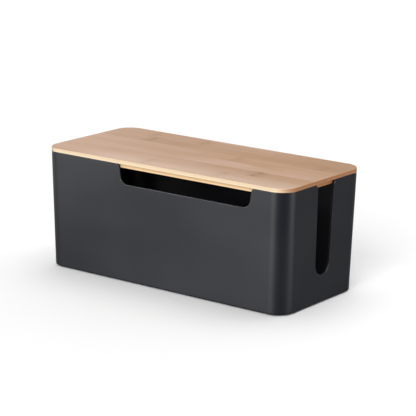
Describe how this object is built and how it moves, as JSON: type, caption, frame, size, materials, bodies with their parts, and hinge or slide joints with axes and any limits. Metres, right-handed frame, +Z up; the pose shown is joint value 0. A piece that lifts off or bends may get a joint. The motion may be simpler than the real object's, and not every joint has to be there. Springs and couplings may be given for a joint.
{
  "type": "cable management box",
  "caption": "Free-standing cable box: dark moulded tub with a front notch and an open slot in each end, and a lift-off two-layer bamboo lid.",
  "frame": {"origin": "centre of the footprint, on the surface that the feet stand on", "axes": "+X to the right along the box's length, +Y from the notched front wall to the rear, +Z up"},
  "size_m": [0.31, 0.14, 0.1304],
  "materials": {
    "tub_plastic": "dark grey moulded plastic, satin, very fine texture",
    "bamboo_face": "edge-glued bamboo strips, sanded, clear matt lacquer",
    "bamboo_core": "pale bamboo board, sanded, clear matt lacquer",
    "foot_rubber": "black matt rubber",
    "foot_adhesive": "translucent adhesive film"
  },
  "bodies": {
    "box": {"box_shell": "tub_plastic", "front_left_foot": "foot_rubber", "front_right_foot": "foot_rubber", "rear_left_foot": "foot_rubber", "rear_right_foot": "foot_rubber", "foot_adhesive_discs": "foot_adhesive"},
    "lid": {"lid_top_board": "bamboo_face", "lid_locating_board": "bamboo_core"}
  },
  "joints": [
    {"name": "lid_lift", "type": "slide", "parent": "box", "child": "lid", "axis": [0, 0, 1], "range_m": [0, 0.15]}
  ]
}
